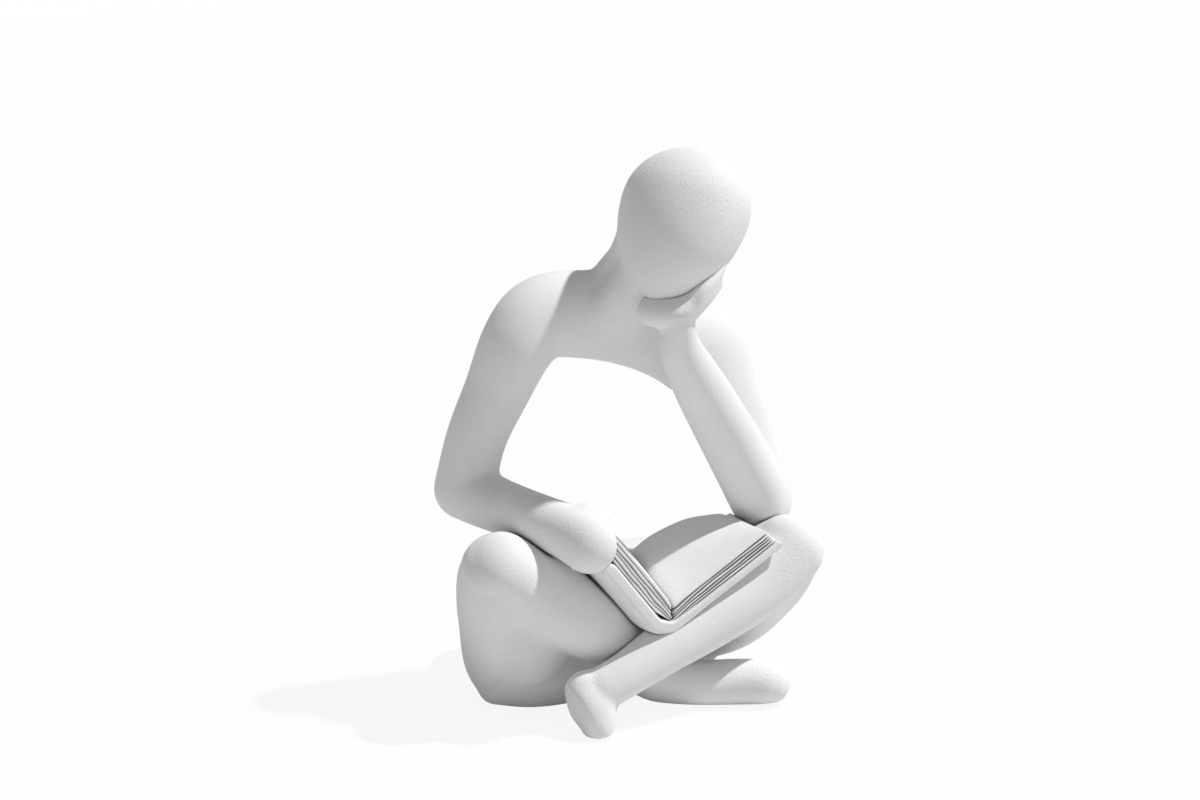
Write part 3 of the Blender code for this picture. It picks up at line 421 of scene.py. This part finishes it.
seatForm = {"depthTowards": sky, "ends": (0.66, 0.8), "stations": [
    (-21.0, 26.5, 14.5, 26.5, 22.0), (0.0, 26.5, 14.5, 27.0, 22.0), (22.0, 26.5, 14.5, 26.5, 22.0)]}
lap = {"depthTowards": sky, "ends": (0.5, 0.8), "stations": [
    (-37.0, 5.0, 20.0, 14.0, 20.0), (-27.0, 4.5, 16.0, 14.5, 18.5), (-12.0, 7.5, 13.0, 13.5, 17.0),
    (6.4, 12.3, 12.0, 12.0, 16.0)]}
thighSwell = {"depthTowards": rear, "ends": (0.7, 0.7), "stations": [
    (-47.5, -7.5, 45.0, 9.5, 11.0), (-40.5, -3.0, 32.0, 14.0, 14.0), (-33.5, 1.0, 19.0, 15.0, 14.0)]}
rightThigh = {"depthTowards": sky, "ends": (0.85, 0.75), "stations": [
    (-21.0, 26.5, 16.5, 19.0, 19.0), (-36.4, 12.8, 19.2, 12.2, 19.3), (-42.6, 0.4, 33.5, 12.5, 18.6),
    (-47.1, -9.1, 44.0, 11.9, 13.2), (-49.0, -13.0, 49.5, 10.4, 10.4)]}
rightShin = {"depthTowards": sky, "ends": (0.85, 0.75), "stations": [
    (-49.0, -13.0, 49.5, 10.4, 10.4), (-34.2, -12.7, 38.5, 11.6, 11.4), (-19.8, -12.3, 28.2, 10.8, 10.8),
    (-10.8, -13.2, 20.2, 8.2, 8.6), (1.0, -12.0, 9.2, 7.0, 8.0), (12.1, -16.8, 6.2, 6.8, 7.2),
    (22.5, -21.1, 6.1, 7.1, 7.2), (30.8, -25.4, 6.5, 7.5, 6.6), (32.9, -26.5, 6.0, 6.5, 6.0)]}
leftThigh = {"depthTowards": sky, "ends": (0.85, 0.75), "stations": [
    (22.0, 26.5, 16.5, 19.0, 19.0), (31.0, 5.5, 25.2, 14.5, 18.6), (37.6, -9.8, 35.2, 12.2, 14.4),
    (41.8, -18.9, 44.6, 10.4, 10.4)]}
leftShin = {"depthTowards": sky, "ends": (0.85, 0.75), "stations": [
    (41.8, -18.9, 44.6, 10.4, 10.4), (29.1, -21.1, 35.1, 9.4, 9.6), (14.1, -22.6, 28.2, 8.6, 9.0),
    (-1.1, -24.5, 22.2, 7.4, 7.8), (-13.5, -25.6, 16.6, 6.6, 6.6), (-21.4, -25.0, 12.8, 6.6, 6.4)]}
leftFoot = {"depthTowards": sky, "ends": (0.85, 0.75), "stations": [
    (-25.8, -22.6, 12.3, 6.6, 6.4), (-25.6, -26.2, 8.2, 7.2, 6.6), (-25.2, -28.7, 3.4, 5.4, 5.0),
    (-25.3, -28.8, -2.0, 3.4, 3.2)]}

# the left foot's sole, as a plane that the foot is pressed against
leftSole = {"point": (-29.9, -31.0, 8.4), "outward": (-0.959, -0.269, -0.087), "rounding": 0.35}

bust = moulded("bust", [bustArch, neck, throat, headForm, rightForearm, rightThumb], bustCasting)
leftArm = moulded("left arm", [leftUpperArm, leftForearm, leftPalm, leftFingers], casting)
hips = moulded("hips", [seatForm, lap, rightThigh, thighSwell, leftThigh], casting)
rightLegForm = moulded("right leg", [seatForm, lap, rightThigh, thighSwell, rightShin], casting)
leftLegForm = moulded("left leg", [seatForm, lap, leftThigh, leftShin, leftFoot], casting)
pressedFlat(leftLegForm, leftSole)

# The open book: pages that lie straight in front and arch at the back, on a cover that is thick and
# soft on the left, as seen from in front. Values in pairs are for its right half (1) and left half (-1).
book = {"gutter": (-1.5, -28.8, 35.9), "width": {1: 35.6, -1: 30.5}, "depth": 30.0,
        "slope": {1: 31.0, -1: 52.0}, "thickness": {1: 4.7, -1: 5.2}, "gutterThickness": 5.0,
        "fall": {1: 3.0, -1: 3.5}, "lift": 8.6, "swell": 3.2, "fan": {1: 3.6, -1: 0.8},
        "spineShare": 0.3, "gather": 1.6, "gatherShare": 0.09, "cornerPower": 30}
leaves = {"layers": 5, "rowsPerLayer": 12, "rimSteps": 520, "faceRings": 14,
          "groove": {1: 2.8, -1: 1.1}, "lipPower": {1: 2.6, -1: 6}, "wander": 0.12, "secondWander": 0.6,
          "wanderWaves": (3, 7), "phaseStep": 1.7, "phaseGain": 2.1, "sway": 0.022, "swayWaves": 9}
binding = {"cover": {1: 2.2, -1: 5.6}, "spine": 3.2, "overhang": {1: 4.9, -1: 4.5}, "rim": 1.0,
           "edgePower": 10.0, "outerPower": {1: 10.0, -1: 3.0}, "steps": 140, "sectionSteps": 96,
           "easeSpan": 14, "straightSpan": 16, "leastEdge": 0.02}


def slopeLine(side, share):
    # straight line from the gutter up one half's slope
    slope = math.radians(book["slope"][side])
    out = book["width"][side] * share
    return side * out * math.cos(slope), out * math.sin(slope)


def uprightThickness(side, share, atSpine, square):
    # grows from the spine's value to one that is square to the slope, and stays
    slope = math.radians(book["slope"][side])
    return atSpine + (square / math.cos(slope) - atSpine) * np.minimum(share / book["spineShare"], 1)


def pageBlock(side):
    # rings run round a rounded oblong in (share, depth): out from the middle of its base, up its grooved
    # edge, and in over the page to its middle
    width, layers, power = book["width"][side], leaves["layers"], book["cornerPower"]
    turn = np.linspace(0, 2 * math.pi, leaves["rimSteps"], endpoint=False)
    c, s = np.cos(turn), np.sin(turn)
    reach = 1 / (np.abs(c) ** power + np.abs(s) ** power) ** (1 / power)
    rimShare, rimDepth = c * reach, s * reach
    edge = np.linspace(0, 1, layers * leaves["rowsPerLayer"] + 1)
    inside = np.linspace(0, 1, leaves["faceRings"], endpoint=False)[1:]
    band = slice(len(inside), len(inside) + len(edge))
    height = np.concatenate([np.zeros(len(inside)), edge, np.ones(len(inside))])[:, None]
    spread = np.concatenate([inside, np.ones(len(edge)), inside[::-1]])[:, None]
    # each bundle of leaves has rounded lips, stands a little in or out, and wanders along the edge
    level = edge * layers
    bundle = np.minimum(level.astype(int), layers - 1)[:, None]
    lip = np.abs(2 * (level[:, None] - bundle) - 1) ** leaves["lipPower"][side]
    phase = leaves["phaseStep"] * bundle + side
    slow, quick = leaves["wanderWaves"]
    stray = leaves["wander"] * (np.sin(slow * turn + leaves["phaseGain"] * phase)
                                + leaves["secondWander"] * np.sin(quick * turn + phase))
    inset = np.zeros((len(height), len(turn)))
    inset[band] = leaves["groove"][side] * lip + stray - stray.min()
    inset[:band.start] = inset[band.start]
    inset[band.stop:] = inset[band.stop - 1]
    # the lines between the leaves rise and fall a little round the rim
    sway = np.zeros_like(inset)
    waves = leaves["swayWaves"]
    sway[band] = (leaves["sway"] * np.sin(math.pi * edge)[:, None]
                  * np.sin(waves * turn + waves * edge[:, None]))
    share = 0.5 + rimShare * spread * (0.5 - inset / width)
    depth = 0.5 + rimDepth * spread * (0.5 - inset / book["depth"])
    # lower leaves reach further out, and all of them draw together at the foot of the gutter
    share += book["fan"][side] / width * share * (1 - height)
    level = np.clip(height + sway, 0, 1) ** (1 + book["gather"] * np.exp(-share / book["gatherShare"]))
    x, rise = slopeLine(side, share)
    lift = book["lift"] * (1 - share) - book["fall"][side] * share + book["swell"] * np.sin(math.pi * share)
    top = rise + lift * depth
    base = rise - uprightThickness(side, share, book["gutterThickness"], book["thickness"][side])
    z = base + (top - base) * level
    grid = np.stack([x, book["depth"] * depth, z], axis=-1) + np.asarray(book["gutter"])
    faces = tubeFaces(*grid.shape[:2])
    if side < 0:
        faces = [face[::-1] for face in faces]
    return meshFromFaces("pages", grid.reshape(-1, 3), faces)


def coverForm():
    # a section with rounded edges carried from the left edge round the spine to the right edge
    halves, thicknesses, roundings = [], [], []
    spine, outer = binding["spine"], binding["outerPower"]
    for side in (-1, 1):
        board = binding["cover"][side]
        share = np.linspace(0, 1 + binding["overhang"][side] / book["width"][side], binding["steps"])
        x, rise = slopeLine(side, share)
        drop = uprightThickness(side, share, book["gutterThickness"], book["thickness"][side])
        grown = np.minimum(share / book["spineShare"], 1)
        under = uprightThickness(side, share, spine, board) / 2
        halves.append(np.stack([x, rise - drop - under], axis=-1))
        thicknesses.append(spine + (board - spine) * grown)
        roundings.append(outer[1] + (outer[side] - outer[1]) * grown)
    path = np.vstack([halves[0][::-1], halves[1][1:]])
    thick = np.concatenate([thicknesses[0][::-1], thicknesses[1][1:]]) / 2
    power = np.concatenate([roundings[0][::-1], roundings[1][1:]])[:, None]
    # the fold at the spine is eased by a running mean, and the ends stay straight
    span, straight = binding["easeSpan"], binding["straightSpan"]
    window = np.hanning(2 * span + 1)
    window /= window.sum()
    padded = np.vstack([np.repeat(path[:1], span, 0), path, np.repeat(path[-1:], span, 0)])
    eased = np.stack([np.convolve(padded[:, k], window, "valid") for k in (0, 1)], axis=-1)
    eased[:straight] = path[:straight]
    eased[-straight:] = path[-straight:]
    along = unit(np.gradient(eased, axis=0))
    normal = np.stack([-along[:, 1], along[:, 0]], axis=-1)
    # both ends are rounded over as half circles
    run = np.concatenate([[0], np.cumsum(np.linalg.norm(np.diff(eased, axis=0), axis=1))])
    nearEnd = np.clip(np.minimum(run, run[-1] - run) / thick, 0, 1)
    thick = thick * np.sqrt(1 - (1 - nearEnd) ** 2) + binding["leastEdge"]
    # rounded oblong section: radius such that |depth|^p + |thickness|^p is one, with a softer p outside
    turn = np.linspace(0, 2 * math.pi, binding["sectionSteps"], endpoint=False)
    c, s = np.cos(turn), np.sin(turn)
    middle = book["depth"] / 2
    power = np.where(s > 0, binding["edgePower"], power)
    flat = 1 / (np.abs(c) ** power + np.abs(s) ** power) ** (1 / power)
    off = thick[:, None] * s * flat
    x = eased[:, :1] + normal[:, :1] * off
    z = eased[:, 1:] + normal[:, 1:] * off
    y = middle + c * flat * (middle + binding["rim"])
    grid = np.stack([x, y, z], axis=-1) + np.asarray(book["gutter"])
    return meshFromFaces("cover", grid.reshape(-1, 3), tubeFaces(*grid.shape[:2]))


cover = coverForm()
leftPages = pageBlock(-1)
rightPages = pageBlock(1)
print("book made", len(cover.vertices), len(leftPages.vertices))

# Planes that part the castings: (point, direction, size of the block past it), and outlines in plan
neckSeam = ((-0.5, 3.6, 126.2), (0.151, -0.52, 0.841), (100, 100, 100))
rightShoulderSeam = ((-33.1, 9.4, 108.4), (-0.542, 0.1, -0.834), (200, 200, 150))
leftShoulderSeam = ((32.0, 3.6, 86.0), (0.4, -0.17, -0.9), (200, 200, 150))
rightElbowSeam = ((-47.4, 14.9, 64.5), (0.121, -0.551, -0.826), (110, 110, 90))
leftElbowSeam = ((41.0, -1.8, 54.5), (-0.476, -0.829, -0.289), (300, 300, 90))
leftHipSeam = ((29.6, 8.8, 16.5), (0.395, -0.919, 0.0), (300, 300, 90))
hipsBehindRight = [(-65.3, 34.0), (-11.6, -2.7), (66.4, -2.7), (66.4, 86.8), (-73.6, 86.8)]
rightLegPlan = [(-65.3, 34.0), (-120.0, 34.0), (-120.0, -90.0), (90.0, -90.0), (90.0, -2.7), (-11.6, -2.7)]
hipsBehindLeft = [(66.4, 24.6), (66.4, 86.8), (-83.6, 86.8), (-83.6, -14.3), (-24.0, -14.3)]
planHeights = (-20, 120)


# The two kinds of cut that carved takes
def without(*meshes):
    return [("DIFFERENCE", mesh) for mesh in meshes]


def within(mesh):
    return "INTERSECT", mesh


headMesh = carved(bust, within(blockPast(*neckSeam)))
yokeMesh = carved(bust, *without(blockPast(*neckSeam), blockPast(*rightShoulderSeam),
                                 blockPast(*leftShoulderSeam)))
# the block past the right shoulder also reaches the bust's left end, so that is taken off
rightUpperMesh = carved(bust, within(blockPast(*rightShoulderSeam)),
                        *without(blockPast(*rightElbowSeam), blockPast(*leftShoulderSeam)))
leftUpperBlank = carved(leftArm, within(blockPast(*leftShoulderSeam)), *without(blockPast(*leftElbowSeam)))
seatMesh = carved(hips, *without(upright(rightLegPlan, *planHeights), blockPast(*leftHipSeam)))
leftLegMesh = carved(leftLegForm, *without(upright(hipsBehindLeft, *planHeights), cover))
rightLegMesh = carved(rightLegForm, *without(upright(hipsBehindRight, *planHeights), leftLegMesh, cover))
leftUpperMesh = carved(leftUpperBlank, *without(leftLegMesh, cover, rightPages))
leftForeMesh = carved(leftArm, within(blockPast(*leftElbowSeam)),
                      *without(leftLegMesh, headMesh, yokeMesh, cover, rightPages))
rightForeMesh = carved(bust, within(blockPast(*rightElbowSeam)), *without(rightLegMesh, cover, leftPages))
print("castings parted")

for name, mesh, node in (
        ("Head", headMesh, "head"),
        ("ShoulderYoke", yokeMesh, "shoulder_yoke"),
        ("RightUpperArm", rightUpperMesh, "right_upper_arm"),
        ("RightForearm", rightForeMesh, "right_forearm"),
        ("LeftUpperArm", leftUpperMesh, "left_upper_arm"),
        ("LeftForearm", leftForeMesh, "left_forearm"),
        ("Hips", seatMesh, "seat"),
        ("RightLeg", rightLegMesh, "right_leg"),
        ("LeftLeg", leftLegMesh, "left_leg"),
        ("BookCover", cover, "book_cover"),
        ("LeftPages", leftPages, "left_page_block"),
        ("RightPages", rightPages, "right_page_block")):
    piece(name, mesh, paint, [node])

# Felt pads under the hips and feet
pads = {"round": 0.35, "edgeWander": 0.06, "wanderWaves": (5, 11), "steps": 72, "edgeRows": 9,
        "faceRings": 8, "hub": 0.15}


def padForm(node):
    # a disc turned from a rounded edge profile, its rim uneven by two waves of different length
    low, high = (np.array(corner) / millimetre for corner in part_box(node))
    middle, radius, thick = (low + high) / 2, (high - low)[0] / 2, (high - low)[2]
    turn = np.linspace(0, 2 * math.pi, pads["steps"], endpoint=False)
    bend = np.linspace(-math.pi / 2, math.pi / 2, pads["edgeRows"])
    rim = radius - pads["round"] * (1 - np.cos(bend))
    rise = thick / 2 * np.sin(bend)
    rings = pads["faceRings"]
    inner = np.linspace(pads["hub"], 1, rings, endpoint=False)
    across = np.concatenate([rim[0] * inner, rim, rim[-1] * inner[::-1]])
    rise = np.concatenate([np.full(rings, rise[0]), rise, np.full(rings, rise[-1])])
    slow, quick = pads["wanderWaves"]
    uneven = (1 + np.sin(slow * turn) + 0.5 * np.sin(quick * turn + 1)) / 2.5
    flat = across[:, None] * (1 - pads["edgeWander"] / radius * uneven)
    level = np.broadcast_to(rise[:, None], flat.shape)
    grid = np.stack([flat * np.cos(turn), flat * np.sin(turn), level], axis=-1)
    return meshFromFaces(node, (grid + middle - stand).reshape(-1, 3), tubeFaces(*grid.shape[:2]))


for name, node in (("RightHipPad", "right_hip_pad"), ("LeftHipPad", "left_hip_pad"),
                   ("RightFootPad", "right_foot_pad"), ("LeftFootPad", "left_foot_pad")):
    piece(name, padForm(node), wool, [node])

# The dowels stay as the CAD has them, in steel
for node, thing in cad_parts.items():
    if node.endswith("_pin"):
        thing.data.materials.clear()
        thing.data.materials.append(rod)
print("pads and dowels dressed")

# Stage, light and camera
studio = {"floor": "#E6E6E6", "floorSize": 3000, "floorLines": 3, "whiteShare": 0.9, "world": "#FFFFFF",
          "worldStrength": 0.3, "shownStrength": 1.0}
light = {"sun": (0.48, -0.20, 0.854), "sunStrength": 2.9, "sunAngle": 2.0}
view = {"azimuth": -25.0, "elevation": 15.0, "distance": 900.0, "aim": (0.4, 24.5, 83.4), "lens": 91.0,
        "sensor": 36, "clipEnd": 100}


def backdropRays(tree):
    # one for rays that should see the white backdrop: from the camera, mirrors and glass
    path = addNode(tree, "ShaderNodeLightPath").outputs
    either = addNode(tree, "ShaderNodeMath", {"operation": "MAXIMUM"})
    tree.links.new(path["Is Camera Ray"], either.inputs[0])
    tree.links.new(path["Is Glossy Ray"], either.inputs[1])
    every = addNode(tree, "ShaderNodeMath", {"operation": "MAXIMUM"})
    tree.links.new(either.outputs[0], every.inputs[0])
    tree.links.new(path["Is Transmission Ray"], every.inputs[1])
    return every.outputs[0]


half, lines = studio["floorSize"] / 2, studio["floorLines"]
ticks = np.linspace(-half, half, lines)
plan = np.stack(np.meshgrid(ticks, ticks, indexing="ij"), axis=-1).reshape(-1, 2)
index = np.arange(len(plan)).reshape(lines, lines)
quads = np.stack([index[:-1, :-1], index[1:, :-1], index[1:, 1:], index[:-1, 1:]], axis=-1).reshape(-1, 4)
floor = linked("StudioFloor", meshFromFaces("StudioFloor", np.c_[plan, np.zeros(len(plan))], quads.tolist()))
floorMaterial, tree = newMaterial("White studio floor")
matte = addNode(tree, "ShaderNodeBsdfDiffuse", {"Color": linear(studio["floor"])})
white = addNode(tree, "ShaderNodeEmission", {"Strength": studio["shownStrength"]})
share = addNode(tree, "ShaderNodeMath", {"operation": "MULTIPLY"})
tree.links.new(backdropRays(tree), share.inputs[0])
share.inputs[1].default_value = studio["whiteShare"]
mixed = addNode(tree, "ShaderNodeMixShader")
tree.links.new(share.outputs[0], mixed.inputs[0])
tree.links.new(matte.outputs[0], mixed.inputs[1])
tree.links.new(white.outputs[0], mixed.inputs[2])
addNode(tree, "ShaderNodeOutputMaterial", {}, {"Surface": mixed.outputs[0]})
floor.data.materials.append(floorMaterial)

world = bpy.data.worlds.new("Studio")
scene.world = world
world.use_nodes = True
tree = world.node_tree
tree.nodes.clear()
skyColour = linear(studio["world"])
dim = addNode(tree, "ShaderNodeBackground", {"Color": skyColour, "Strength": studio["worldStrength"]})
bright = addNode(tree, "ShaderNodeBackground", {"Color": skyColour, "Strength": studio["shownStrength"]})
mixed = addNode(tree, "ShaderNodeMixShader")
tree.links.new(backdropRays(tree), mixed.inputs[0])
tree.links.new(dim.outputs[0], mixed.inputs[1])
tree.links.new(bright.outputs[0], mixed.inputs[2])
addNode(tree, "ShaderNodeOutputWorld", {}, {"Surface": mixed.outputs[0]})

sun = bpy.data.lights.new("Key", "SUN")
sun.energy = light["sunStrength"]
sun.angle = math.radians(light["sunAngle"])
key = linked("Key", sun)
key.rotation_euler = Vector(light["sun"]).to_track_quat("Z", "Y").to_euler()

azimuth, elevation = math.radians(view["azimuth"]), math.radians(view["elevation"])
away = Vector((math.sin(azimuth) * math.cos(elevation), -math.cos(azimuth) * math.cos(elevation),
               math.sin(elevation)))
camera = bpy.data.cameras.new("Camera")
camera.sensor_width = view["sensor"]
camera.lens = view["lens"]
camera.clip_end = view["clipEnd"]
eye = linked("Camera", camera)
eye.location = (Vector(stand) + Vector(view["aim"]) + away * view["distance"]) * millimetre
eye.rotation_euler = away.to_track_quat("Z", "Y").to_euler()
scene.camera = eye
scene.view_settings.view_transform = "Standard"
print("studio set")
